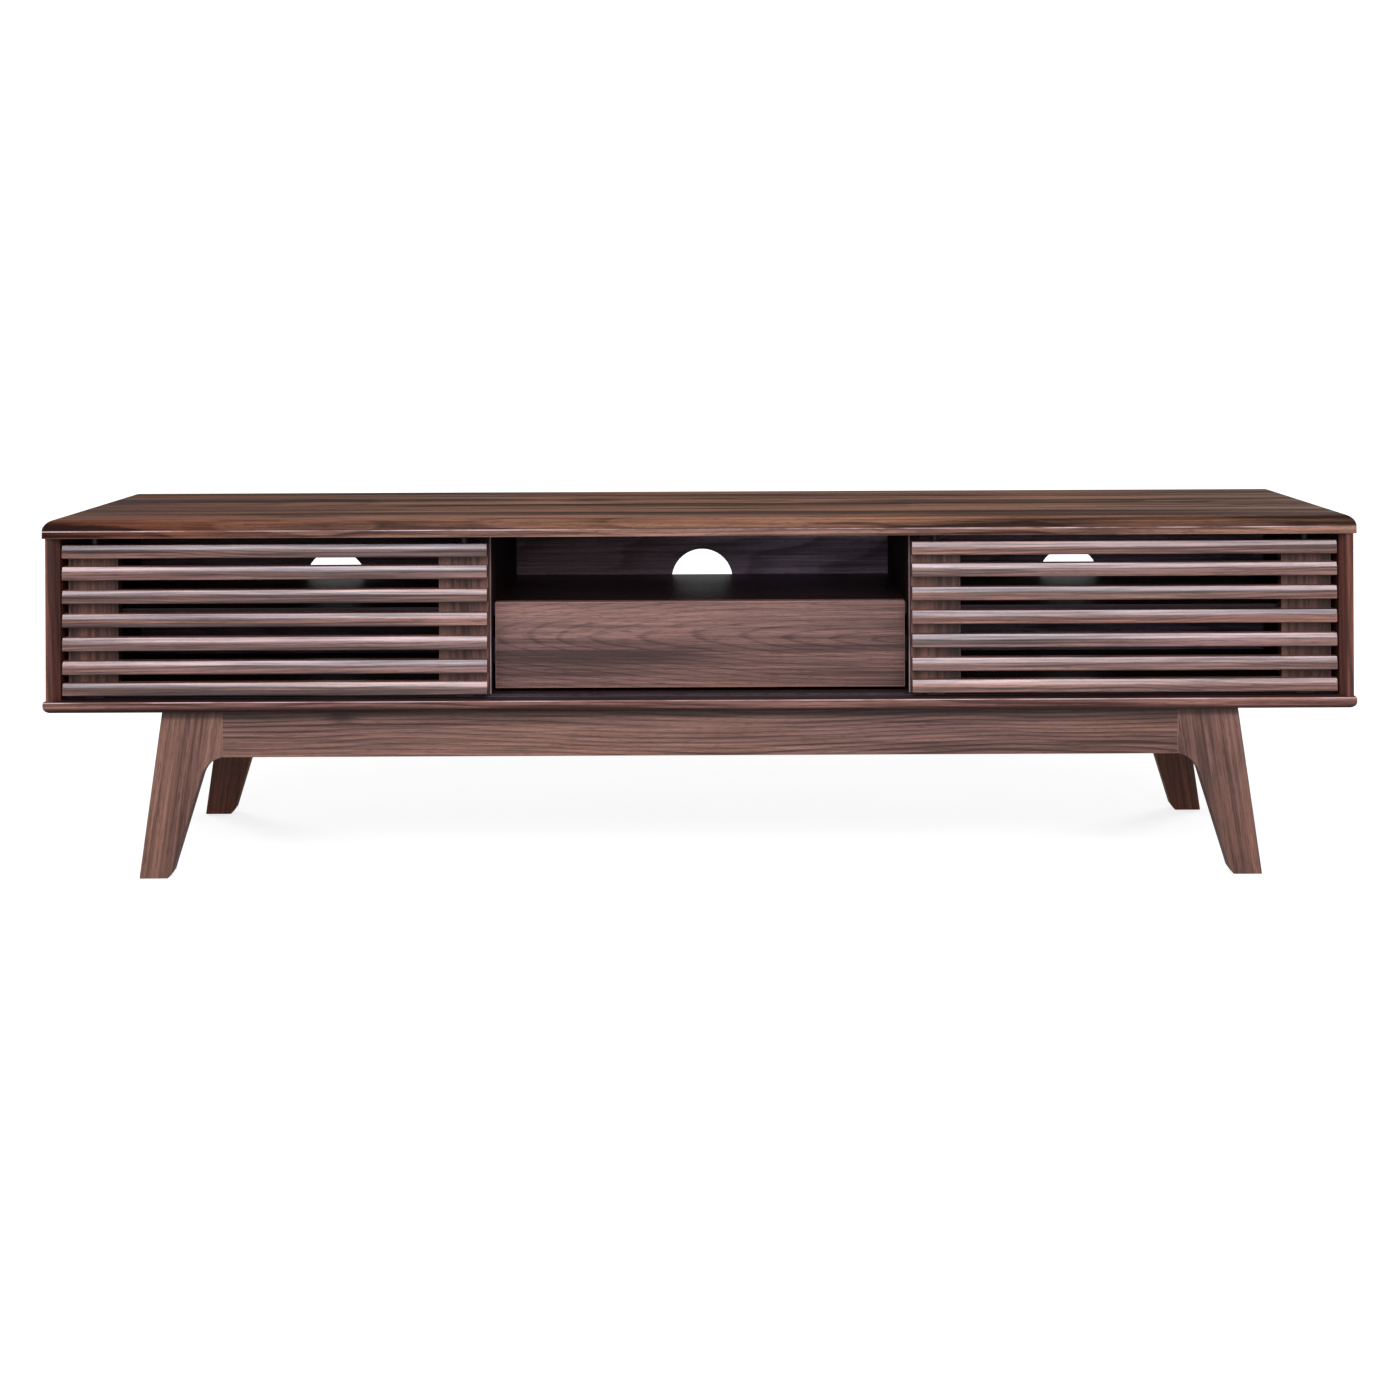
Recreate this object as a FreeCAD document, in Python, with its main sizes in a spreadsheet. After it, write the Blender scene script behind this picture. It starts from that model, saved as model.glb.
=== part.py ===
import FreeCAD, Part
import os
import re

import Sketcher

# Console television cabinet: a long low cabinet on a splayed-leg frame, with two slatted
# doors that slide in one track, a centre bay with a shelf over a drawer, and cable holes.
# Units are mm. X runs along the length, -Y is the front, Z is up, z = 0 is the floor.
# Depths named *_setback are measured back from the front edge of the top panel.

DIMS = {
    # overall
    "total_width": 1800.0,
    "total_depth": 400.0,
    "total_height": 495.0,
    "base_height": 230.0,
    # top and bottom panels
    "top_thick": 25.0,
    "top_round": 15.0,
    "bottom_thick": 16.0,
    "bottom_round": 10.0,
    # side panels, dividers, back
    "side_inset": 3.5,
    "side_setback": 3.0,
    "side_thick": 18.0,
    "side_chamfer": 9.5,
    "divider_thick": 16.0,
    "centre_half": 290.5,
    "divider_setback": 49.0,
    "back_inset": 8.0,
    "back_thick": 8.0,
    "cable_hole_radius": 47.5,
    "cable_hole_height": 359.0,
    "cable_hole_offset": 574.0,
    # shelves
    "shelf_thick": 16.0,
    "shelf_top": 367.0,
    "shelf_gap": 1.0,
    "side_shelf_setback": 50.0,
    "side_shelf_depth": 330.0,
    "centre_shelf_setback": 78.0,
    # door tracks
    "track_setback": 37.0,
    "track_width": 16.0,
    "track_wall": 2.0,
    "track_web": 1.5,
    "low_track_height": 8.0,
    "low_track_proud": 0.5,
    "high_track_height": 10.0,
    # doors
    "door_length": 584.5,
    "door_side_gap": 1.5,
    "slat_setback": 13.0,
    "slat_height": 18.5,
    "slat_depth": 18.5,
    "slat_lap": 3.0,
    "slat_face": 6.5,
    "slat_slope": 2.6,
    "slat_face_round": 9.0,
    "slat_arris": 0.8,
    "slat_round_low": 2.5,
    "slat_lowest": 251.0,
    "slat_end_pitch": 30.0,
    "slat_pitch": 32.5,
    "stile_width": 68.0,
    "stile_thick": 17.0,
    "stile_low": 249.0,
    "stile_high": 458.0,
    "stile_inset": 4.5,
    # door rollers
    "wheel_radius": 15.0,
    "wheel_width": 6.0,
    "wheel_height": 255.3,
    "wheel_slot_length": 34.0,
    "wheel_slot_width": 7.0,
    "wheel_slot_height": 23.5,
    "axle_radius": 2.5,
    "axle_length": 16.0,
    "running_gap": 0.05,
    # sprung door guides
    "guide_radius": 5.0,
    "guide_low": 440.0,
    "guide_high": 476.0,
    "guide_tip": 2.0,
    "guide_tip_radius": 3.5,
    "guide_bore_low": 424.0,
    "spring_radius": 3.6,
    "spring_wire": 0.5,
    "spring_pitch": 2.6,
    "spring_gap": 0.3,
    # drawer
    "face_half": 286.5,
    "face_setback": 60.0,
    "face_thick": 16.0,
    "face_low": 252.0,
    "face_height": 120.0,
    "box_half": 277.5,
    "box_wall": 12.0,
    "box_low": 262.0,
    "box_height": 80.0,
    "box_depth": 290.0,
    "box_floor_rise": 6.0,
    "box_floor_thick": 6.0,
    "box_groove": 6.0,
    "runner_low": 284.0,
    "runner_height": 36.0,
    "runner_width": 12.2,
    "runner_wall": 1.5,
    "slider_height": 26.0,
    "slider_width": 9.5,
    "runner_length": 286.0,
    # legs and frame
    "leg_setback": 16.0,
    "leg_thick": 22.0,
    "apron_half": 658.0,
    "apron_low": 166.5,
    "leg_fillet": 38.6,
    "leg_knee": 22.5,
    "leg_knee_drop": 5.0,
    "leg_toe_inner": 69.7,
    "leg_toe_rise": 8.5,
    "leg_foot_inner": 76.0,
    "leg_foot_outer": 115.0,
    "leg_shoulder": 82.7,
    "rail_inner": 690.0,
    "rail_thick": 22.0,
    "block_side": 60.0,
    "block_height": 30.0,
    # hardware
    "pin_radius": 2.5,
    "pin_reach": 9.0,
    "pin_flange_radius": 5.0,
    "pin_flange_thick": 0.8,
    "cap_radius": 8.5,
    "cap_thick": 0.8,
    "head_radius": 4.5,
    "head_thick": 2.0,
    "head_recess_radius": 1.8,
    "head_recess_depth": 1.0,
}

SLAT_COUNT = 7
SIDES = {"left": -1, "right": 1}
PLANES = {"XY": "XY_Plane", "XZ": "XZ_Plane", "YZ": "YZ_Plane"}

os.makedirs("parts", exist_ok=True)
doc = FreeCAD.newDocument("console_television_cabinet")


def build_sheet():
    """Put every driving dimension in a spreadsheet, one alias per row."""
    sheet = doc.addObject("Spreadsheet::Sheet", "dims")
    for row, (name, value) in enumerate(DIMS.items(), start=1):
        sheet.set("A%d" % row, name)
        sheet.set("B%d" % row, repr(value))
        sheet.setAlias("B%d" % row, name)
    doc.recompute()
    return sheet


def bound(text):
    """Turn a formula in dimension names into a spreadsheet expression."""
    return re.sub(r"[a-z][a-z_]+", lambda m: "dims." * (m.group(0) in DIMS) + m.group(0), str(text))


def number(text):
    """Work out the same formula as a plain number."""
    value = re.sub(r"[a-z][a-z_]+", lambda m: repr(DIMS[m.group(0)]), str(text))
    return float(FreeCAD.Units.Quantity(value).Value)


def place(obj, at):
    """Bind an object's position to three formulas."""
    for axis, text in zip("xyz", at):
        obj.setExpression("Placement.Base." + axis, bound(text))


def front(text):
    """The Y position that lies a given depth behind the front edge."""
    return "-total_depth / 2 + (%s)" % text


# ---------------------------------------------------------------- primitives

def add_box(name, size, at):
    box = doc.addObject("Part::Box", name)
    for prop, text in zip(("Length", "Width", "Height"), size):
        box.setExpression(prop, bound(text))
    place(box, at)
    return box


def add_cylinder(name, radius, height, at, turn=None):
    cylinder = doc.addObject("Part::Cylinder", name)
    cylinder.setExpression("Radius", bound(radius))
    cylinder.setExpression("Height", bound(height))
    if turn is not None:
        cylinder.Placement.Rotation = turn
    place(cylinder, at)
    return cylinder


def add_cut(name, base, tool):
    cut = doc.addObject("Part::Cut", name)
    cut.Base = base
    cut.Tool = tool
    return cut


def add_fuse(name, shapes):
    fuse = doc.addObject("Part::MultiFuse", name)
    fuse.Shapes = shapes
    return fuse


ALONG_X = FreeCAD.Rotation(FreeCAD.Vector(0, 1, 0), 90)
ALONG_Y = FreeCAD.Rotation(FreeCAD.Vector(1, 0, 0), -90)
ALONG_MINUS_X = FreeCAD.Rotation(FreeCAD.Vector(0, 1, 0), -90)


# ---------------------------------------------------------- sketched bodies

def add_body(name, at):
    body = doc.addObject("PartDesign::Body", name)
    place(body, at)
    return body


def add_sketch(body, name, plane, lift="0"):
    """An empty sketch on one of the body's own origin planes, lifted along its normal."""
    sketch = body.newObject("Sketcher::SketchObject", name)
    origin_plane = [f for f in body.Origin.OriginFeatures if f.Role == PLANES[plane]][0]
    sketch.AttachmentSupport = [(origin_plane, "")]
    sketch.MapMode = "FlatFace"
    sketch.setExpression("AttachmentOffset.Base.z", bound(lift))
    return sketch


def pin_point(sketch, geo, vertex, x, y):
    """Hold one sketch point at formulas x and y from the sketch origin."""
    for kind, text, axis in (("DistanceX", x, -2), ("DistanceY", y, -1)):
        if number(text) == 0:
            sketch.addConstraint(Sketcher.Constraint("PointOnObject", geo, vertex, axis))
            continue
        index = sketch.addConstraint(Sketcher.Constraint(kind, -1, 1, geo, vertex, number(text)))
        sketch.setExpression("Constraints[%d]" % index, bound(text))


def draw_polygon(sketch, points):
    """A closed outline whose corners are each held by two formulas."""
    corners = [FreeCAD.Vector(number(x), number(y), 0) for x, y in points]
    first = sketch.GeometryCount
    count = len(corners)
    for i in range(count):
        sketch.addGeometry(Part.LineSegment(corners[i], corners[(i + 1) % count]), False)
    for i in range(count):
        following = first + (i + 1) % count
        sketch.addConstraint(Sketcher.Constraint("Coincident", first + i, 2, following, 1))
    for i, (x, y) in enumerate(points):
        pin_point(sketch, first + i, 1, x, y)


def draw_rectangle(sketch, x0, y0, x1, y1):
    draw_polygon(sketch, [(x0, y0), (x1, y0), (x1, y1), (x0, y1)])


def draw_circle(sketch, x, y, radius):
    centre = FreeCAD.Vector(number(x), number(y), 0)
    geo = sketch.addGeometry(Part.Circle(centre, FreeCAD.Vector(0, 0, 1), number(radius)), False)
    index = sketch.addConstraint(Sketcher.Constraint("Radius", geo, number(radius)))
    sketch.setExpression("Constraints[%d]" % index, bound(radius))
    pin_point(sketch, geo, 3, x, y)


def pad(body, sketch, length, reverse=False):
    feature = body.newObject("PartDesign::Pad", sketch.Name + "_pad")
    feature.Profile = sketch
    feature.setExpression("Length", bound(length))
    feature.Reversed = reverse
    sketch.Visibility = False
    doc.recompute()
    return feature


def pocket(body, sketch, depth, reverse=False):
    """Cut a sketch into the body and make sure that material really went."""
    before = body.Shape.Volume
    feature = body.newObject("PartDesign::Pocket", sketch.Name + "_pocket")
    feature.Profile = sketch
    feature.setExpression("Length", bound(depth))
    feature.Reversed = reverse
    sketch.Visibility = False
    doc.recompute()
    if not body.Shape.Volume < before - 1.0:
        raise RuntimeError("nothing was cut by " + feature.Name)
    return feature


def edges_at(shape, x=None, y=None, z=None):
    """Names of the straight edges that lie wholly at the given coordinates."""
    names = []
    for index, edge in enumerate(shape.Edges, start=1):
        ends = [v.Point for v in edge.Vertexes]
        wanted = [(0, x), (1, y), (2, z)]
        if all(abs(p[i] - value) < 1e-3 for p in ends for i, value in wanted if value is not None):
            names.append("Edge%d" % index)
    return names


def dress(body, kind, size_name, size, edges):
    """Add a PartDesign fillet or chamfer to the named edges of the body's tip."""
    base = body.Tip
    feature = body.newObject("PartDesign::" + kind, "%s_%s" % (body.Name, size_name))
    feature.Base = (base, edges)
    feature.setExpression("Radius" if kind == "Fillet" else "Size", bound(size))
    doc.recompute()
    return feature


# ------------------------------------------------------------------- carcass

def make_top_panel():
    """Full-size top, rounded over along the front and both ends, grooved for the guide track."""
    body = add_body("top_panel", ("-total_width / 2", "-total_depth / 2", "total_height - top_thick"))
    outline = add_sketch(body, "top_outline", "XY")
    draw_rectangle(outline, "0", "0", "total_width", "total_depth")
    pad(body, outline, "top_thick")
    height = number("top_thick")
    local = body.Tip.Shape
    rounded = edges_at(local, y=0, z=height) + edges_at(local, x=0, z=height)
    rounded += edges_at(local, x=number("total_width"), z=height)
    dress(body, "Fillet", "round", "top_round", rounded)
    groove = add_sketch(body, "top_groove", "XY")
    draw_rectangle(groove, "side_inset + side_thick", "track_setback - track_width / 2",
                   "total_width - side_inset - side_thick", "track_setback + track_width / 2")
    pocket(body, groove, "high_track_height", reverse=True)


def make_bottom_panel():
    """Full-size bottom, rounded under along the front and ends, grooved for the roller track."""
    body = add_body("bottom_panel", ("-total_width / 2", "-total_depth / 2", "base_height"))
    outline = add_sketch(body, "bottom_outline", "XY")
    draw_rectangle(outline, "0", "0", "total_width", "total_depth")
    pad(body, outline, "bottom_thick")
    local = body.Tip.Shape
    rounded = edges_at(local, y=0, z=0) + edges_at(local, x=0, z=0)
    rounded += edges_at(local, x=number("total_width"), z=0)
    dress(body, "Fillet", "round", "bottom_round", rounded)
    groove = add_sketch(body, "bottom_groove", "XY", "bottom_thick")
    draw_rectangle(groove, "side_inset + side_thick", "track_setback - track_width / 2",
                   "total_width - side_inset - side_thick", "track_setback + track_width / 2")
    pocket(body, groove, "low_track_height - low_track_proud")


def make_side_panel(side):
    """End wall with a wide chamfer on the inner front arris."""
    at_x = "-total_width / 2 + side_inset"
    if side == "right":
        at_x = "total_width / 2 - side_inset - side_thick"
    body = add_body("side_panel_" + side, (at_x, front("side_setback"), "base_height + bottom_thick"))
    outline = add_sketch(body, "side_outline_" + side, "XY")
    cut, wide, deep = "side_chamfer", "side_thick", "total_depth - side_setback"
    if side == "left":
        corners = [("0", "0"), (wide + " - " + cut, "0"), (wide, cut), (wide, deep), ("0", deep)]
    else:
        corners = [(cut, "0"), (wide, "0"), (wide, deep), ("0", deep), ("0", cut)]
    draw_polygon(outline, corners)
    pad(body, outline, "total_height - top_thick - base_height - bottom_thick")


def make_divider(side):
    at_x = "-centre_half - divider_thick" if side == "left" else "centre_half"
    depth = "total_depth - back_inset - back_thick - divider_setback"
    add_box("divider_" + side,
            ("divider_thick", depth, "total_height - top_thick - base_height - bottom_thick"),
            (at_x, front("divider_setback"), "base_height + bottom_thick"))


def make_back_panel():
    """One inset board with a round cable hole behind each bay."""
    half = "total_width / 2 - side_inset - side_thick"
    rear = "total_depth / 2 - back_inset - back_thick"
    clear_height = "total_height - top_thick - base_height - bottom_thick"
    board = add_box("back_board", ("2 * (%s)" % half, "back_thick", clear_height),
                    ("-(%s)" % half, rear, "base_height + bottom_thick"))
    holes = [add_cylinder("cable_hole_%d" % i, "cable_hole_radius", "back_thick + 2",
                          ("%d * cable_hole_offset" % i, rear + " - 1", "cable_hole_height"), ALONG_Y)
             for i in (-1, 0, 1)]
    add_cut("back_panel", board, add_fuse("cable_holes", holes))


def make_shelves():
    bay_width = "total_width / 2 - side_inset - side_thick - centre_half - divider_thick - 2 * shelf_gap"
    level = "shelf_top - shelf_thick"
    for side in SIDES:
        at_x = "centre_half + divider_thick + shelf_gap"
        if side == "left":
            at_x = "-(%s) - (%s)" % (at_x, bay_width)
        add_box("side_shelf_" + side, (bay_width, "side_shelf_depth", "shelf_thick"),
                (at_x, front("side_shelf_setback"), level))
    depth = "total_depth - back_inset - back_thick - centre_shelf_setback"
    add_box("centre_shelf", ("2 * centre_half", depth, "shelf_thick"),
            ("-centre_half", front("centre_shelf_setback"), level))


def make_shelf_pins():
    """Four flanged pins under each side shelf, standing on the side panels and dividers."""
    solids = []
    walls = [("divider", "centre_half + divider_thick", 1),
             ("side", "total_width / 2 - side_inset - side_thick", -1)]
    for side, sign in SIDES.items():
        for wall, wall_x, inward in walls:
            turn = ALONG_X if sign * inward > 0 else ALONG_MINUS_X
            for row, depth in (("fore", "side_shelf_setback + 40"), ("aft", "side_shelf_setback + 290")):
                name = "pin_%s_%s_%s" % (side, wall, row)
                at = ("%d * (%s)" % (sign, wall_x), front(depth), "shelf_top - shelf_thick - pin_radius")
                solids.append(add_cylinder(name, "pin_radius", "pin_reach", at, turn))
                flange = ("pin_flange_radius", "pin_flange_thick")
                solids.append(add_cylinder(name + "_flange", *flange, at, turn))
    add_fuse("shelf_pins", solids)


def make_track(name, at_z, height, opening_up):
    """A channel extrusion the length of the cabinet, open towards the doors."""
    start = "-total_width / 2 + side_inset + side_thick"
    body = add_body(name, (start, front("track_setback - track_width / 2"), at_z))
    section = add_sketch(body, name + "_section", "YZ")
    low, high = ("0", height) if opening_up else (height, "0")
    web = "track_web" if opening_up else height + " - track_web"
    draw_polygon(section, [("0", high), ("0", low), ("track_width", low), ("track_width", high),
                           ("track_width - track_wall", high), ("track_width - track_wall", web),
                           ("track_wall", web), ("track_wall", high)])
    pad(body, section, "total_width - 2 * (side_inset + side_thick)")


def make_caps_and_back_screws():
    """Cover caps over the cam fittings inside, and the screws that hold the back on."""
    caps = []
    walls = [("side", "total_width / 2 - side_inset - side_thick", -1),
             ("divider", "centre_half + divider_thick", 1)]
    for side, sign in SIDES.items():
        for wall, wall_x, inward in walls:
            turn = ALONG_X if sign * inward > 0 else ALONG_MINUS_X
            for row, depth in (("fore", "95"), ("aft", "340")):
                at = ("%d * (%s)" % (sign, wall_x), front(depth), "total_height - top_thick - 32")
                name = "cap_%s_%s_%s" % (side, wall, row)
                caps.append(add_cylinder(name, "cap_radius", "cap_thick", at, turn))
    add_fuse("cam_caps", caps)
    heads = []
    for side, sign in SIDES.items():
        for level in (268, 358, 448):
            at_x = "%d * (centre_half + divider_thick / 2)" % sign
            heads.append(add_screw_head("back_screw_%s_%d" % (side, level),
                                        (at_x, "total_depth / 2 - back_inset", str(level)), ALONG_Y))
    add_fuse("back_panel_screws", heads)


def add_screw_head(name, at, turn):
    """A low round head with a shallow round driver recess, its seat at the given point."""
    head = add_cylinder(name + "_disc", "head_radius", "head_thick", at, turn)
    step = turn.multVec(FreeCAD.Vector(0, 0, 1))
    rise = "head_thick - head_recess_depth"
    deeper = tuple("%s + %d * (%s)" % (text, round(part), rise) for text, part in zip(at, step))
    recess = add_cylinder(name + "_recess", "head_recess_radius", "head_thick", deeper, turn)
    return add_cut(name, head, recess)


# --------------------------------------------------------------------- frame

def leg_outline(side):
    """Front view of a leg, from its joint with the apron out to the splayed foot."""
    corners = [("0", "apron_low"), ("leg_knee", "apron_low - leg_knee_drop"),
               ("leg_toe_inner", "leg_toe_rise"), ("leg_foot_inner", "0"), ("leg_foot_outer", "0"),
               ("leg_shoulder", "base_height"), ("0", "base_height")]
    if side == "left":
        corners = [("leg_foot_outer - (%s)" % x, z) for x, z in reversed(corners)]
    return corners


def make_leg(end, side):
    name = "leg_%s_%s" % (end, side)
    at_y = front("leg_setback") if end == "front" else "total_depth / 2 - leg_setback - leg_thick"
    at_x = "apron_half" if side == "right" else "-apron_half - leg_foot_outer"
    body = add_body(name, (at_x, at_y, "0"))
    outline = add_sketch(body, name + "_outline", "XZ")
    draw_polygon(outline, leg_outline(side))
    pad(body, outline, "leg_thick", reverse=True)
    knee = number("leg_knee") if side == "right" else number("leg_foot_outer - leg_knee")
    inner = edges_at(body.Tip.Shape, x=knee, z=number("apron_low - leg_knee_drop"))
    dress(body, "Fillet", "knee", "leg_fillet", inner)


def make_frame():
    for end in ("front", "back"):
        for side in SIDES:
            make_leg(end, side)
    apron = ("2 * apron_half", "leg_thick", "base_height - apron_low")
    add_box("front_apron", apron, ("-apron_half", front("leg_setback"), "apron_low"))
    add_box("back_apron", apron, ("-apron_half", "total_depth / 2 - leg_setback - leg_thick", "apron_low"))
    for side in SIDES:
        at_x = "rail_inner" if side == "right" else "-rail_inner - rail_thick"
        add_box("end_rail_" + side,
                ("rail_thick", "total_depth - 2 * (leg_setback + leg_thick)", "base_height - apron_low"),
                (at_x, front("leg_setback + leg_thick"), "apron_low"))


# How far each corner block is turned, by frame end (front 1) and side (right 1).
BLOCK_TURNS = {(1, 1): 90, (1, -1): 0, (-1, 1): 180, (-1, -1): -90}


def make_corner_blocks():
    """Triangular blocks in the frame's four corners, each with a screw head under it."""
    blocks = []
    heads = []
    for end, away in (("front", 1), ("back", -1)):
        for side, sign in SIDES.items():
            edge_y = "%d * (total_depth / 2 - leg_setback - leg_thick)" % -away
            name = "block_%s_%s" % (end, side)
            body = add_body(name, ("%d * rail_inner" % sign, edge_y, "base_height - block_height"))
            turn = BLOCK_TURNS[(away, sign)]
            body.Placement.Rotation = FreeCAD.Rotation(FreeCAD.Vector(0, 0, 1), turn)
            outline = add_sketch(body, name + "_outline", "XY")
            draw_polygon(outline, [("0", "0"), ("block_side", "0"), ("0", "block_side")])
            pad(body, outline, "block_height")
            blocks.append(body)
            down = FreeCAD.Rotation(FreeCAD.Vector(1, 0, 0), 180)
            at = ("%d * (rail_inner - 18)" % sign, edge_y + " + %d" % (18 * away),
                  "base_height - block_height")
            heads.append(add_screw_head("base_screw_%s_%s" % (end, side), at, down))
    add_fuse("corner_blocks", blocks)
    add_fuse("base_screws", heads)


# --------------------------------------------------------------------- doors

def door_start(side):
    """X of a door's left-hand end with the doors parked at the cabinet's ends."""
    reach = "total_width / 2 - side_inset - side_thick - door_side_gap"
    return "-(%s)" % reach if side == "left" else "%s - door_length" % reach


def stile_starts(side):
    """X of the left-hand edge of a door's two stiles, measured along the door."""
    if side == "left":
        return {"outer": "stile_inset", "inner": "door_length - stile_width"}
    return {"inner": "0", "outer": "door_length - stile_inset - stile_width"}


def slat_rise(index):
    """Height of one slat's underside above the lowest slat's underside."""
    if index == 0:
        return "0"
    middle = min(index - 1, SLAT_COUNT - 3)
    last = 1 if index == SLAT_COUNT - 1 else 0
    return "%d * slat_end_pitch + %d * slat_pitch" % (1 + last, middle)


def make_slat(side, index):
    """One slat whose front leans back over its upper third, notched at the back for the stiles."""
    name = "slat_%s_%d" % (side, index + 1)
    body = add_body(name, (door_start(side), front("slat_setback"), "slat_lowest + " + slat_rise(index)))
    section = add_sketch(body, name + "_section", "YZ")
    draw_polygon(section, [("0", "0"), ("slat_depth", "0"), ("slat_depth", "slat_height"),
                           ("slat_slope", "slat_height"), ("0", "slat_height - slat_face")])
    pad(body, section, "door_length")
    bend = edges_at(body.Tip.Shape, y=0, z=number("slat_height - slat_face"))
    dress(body, "Fillet", "bend", "slat_face_round", bend)
    upper = edges_at(body.Tip.Shape, y=number("slat_slope"), z=number("slat_height"))
    dress(body, "Fillet", "upper", "slat_arris", upper)
    lower = edges_at(body.Tip.Shape, y=0, z=0)
    dress(body, "Fillet", "lower", "slat_round_low", lower)
    notch = add_sketch(body, name + "_notch", "XY")
    starts = stile_starts(side)
    low_stile, high_stile = ("outer", "inner") if side == "left" else ("inner", "outer")
    laps = (("0", starts[low_stile] + " + stile_width"), (starts[high_stile], "door_length"))
    for start, stop in laps:
        draw_rectangle(notch, start, "slat_depth - slat_lap", stop, "slat_depth")
    pocket(body, notch, "slat_height", reverse=True)


def make_stile(side, position):
    """Upright behind the slats: roller slot and axle hole below, guide bore on top."""
    name = "stile_%s_%s" % (side, position)
    start = "%s + %s" % (door_start(side), stile_starts(side)[position])
    body = add_body(name, (start, front("slat_setback + slat_depth - slat_lap"), "stile_low"))
    outline = add_sketch(body, name + "_outline", "XY")
    draw_rectangle(outline, "0", "0", "stile_width", "stile_thick")
    pad(body, outline, "stile_high - stile_low")
    slot = add_sketch(body, name + "_slot", "XY")
    draw_rectangle(slot, "(stile_width - wheel_slot_length) / 2", "(stile_thick - wheel_slot_width) / 2",
                   "(stile_width + wheel_slot_length) / 2", "(stile_thick + wheel_slot_width) / 2")
    pocket(body, slot, "wheel_slot_height", reverse=True)
    bore = add_sketch(body, name + "_bore", "XY", "stile_high - stile_low")
    draw_circle(bore, "stile_width / 2", "stile_thick / 2", "guide_radius + running_gap")
    pocket(body, bore, "stile_high - guide_bore_low")
    hole = add_sketch(body, name + "_axle", "XZ")
    draw_circle(hole, "stile_width / 2", "wheel_height - stile_low", "axle_radius + running_gap")
    pocket(body, hole, "stile_thick")


def stile_centre(side, position):
    return "%s + %s + stile_width / 2" % (door_start(side), stile_starts(side)[position])


def make_roller(side, position):
    """Grooved-flank nylon wheel on its axle line, with a crowned tread."""
    name = "roller_%s_%s" % (side, position)
    body = add_body(name, (stile_centre(side, position), front("track_setback"), "wheel_height"))
    section = add_sketch(body, name + "_section", "XY")
    bore, half, rim = "axle_radius + running_gap", "wheel_width / 2", "wheel_radius"
    draw_polygon(section, [(bore, "-" + half), (bore + " + 3", "-" + half),
                           (bore + " + 4", "-%s + 1" % half),
                           (rim + " - 4", "-%s + 1" % half), (rim + " - 3", "-" + half),
                           (rim + " - 0.8", "-" + half), (rim, "-%s + 0.8" % half),
                           (rim, half + " - 0.8"), (rim + " - 0.8", half), (rim + " - 3", half),
                           (rim + " - 4", half + " - 1"), (bore + " + 4", half + " - 1"),
                           (bore + " + 3", half), (bore, half)])
    feature = body.newObject("PartDesign::Revolution", name + "_turned")
    feature.Profile = section
    feature.ReferenceAxis = (section, ["V_Axis"])
    feature.Angle = 360.0
    section.Visibility = False
    doc.recompute()


def make_axles(side):
    axles = []
    for position in ("inner", "outer"):
        at = (stile_centre(side, position), front("track_setback - axle_length / 2"), "wheel_height")
        name = "axle_%s_%s" % (side, position)
        axles.append(add_cylinder(name, "axle_radius", "axle_length", at, ALONG_Y))
    add_fuse("roller_axles_" + side, axles)


def make_guides(side):
    """The pair of sprung pins that hold the door's top edge in the upper track."""
    parts = []
    for position in ("inner", "outer"):
        x, y = stile_centre(side, position), front("track_setback")
        name = "guide_%s_%s" % (side, position)
        shaft = add_cylinder(name + "_shaft", "guide_radius", "guide_high - guide_tip - guide_low",
                             (x, y, "guide_low"))
        tip = doc.addObject("Part::Cone", name + "_tip")
        tip.setExpression("Radius1", bound("guide_radius"))
        tip.setExpression("Radius2", bound("guide_tip_radius"))
        tip.setExpression("Height", bound("guide_tip"))
        place(tip, (x, y, "guide_high - guide_tip"))
        parts += [shaft, tip]
    add_fuse("guide_pins_" + side, parts)


def coil(x, y, low, high):
    """One round-wire compression spring between two heights."""
    wire = DIMS["spring_wire"]
    radius = DIMS["spring_radius"]
    helix = Part.makeHelix(DIMS["spring_pitch"], high - low - 2 * wire, radius)
    start = Part.Wire([Part.makeCircle(wire, FreeCAD.Vector(radius, 0, 0), FreeCAD.Vector(0, 1, 0))])
    sweep = Part.Wire(helix).makePipeShell([start], True, True)
    sweep.translate(FreeCAD.Vector(x, y, low + wire))
    return sweep


def make_springs(side):
    """The springs under a door's guide pins; a swept helix has no sketch or primitive form."""
    coils = []
    for position in ("inner", "outer"):
        coils.append(coil(number(stile_centre(side, position)), number(front("track_setback")),
                          number("guide_bore_low + spring_gap"), number("guide_low - spring_gap")))
    spring = doc.addObject("Part::Feature", "guide_springs_" + side)
    spring.Shape = Part.makeCompound(coils)


def make_door(side):
    for index in range(SLAT_COUNT):
        make_slat(side, index)
    for position in ("inner", "outer"):
        make_stile(side, position)
        make_roller(side, position)
    make_axles(side)
    make_guides(side)
    make_springs(side)


# -------------------------------------------------------------------- drawer

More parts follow.
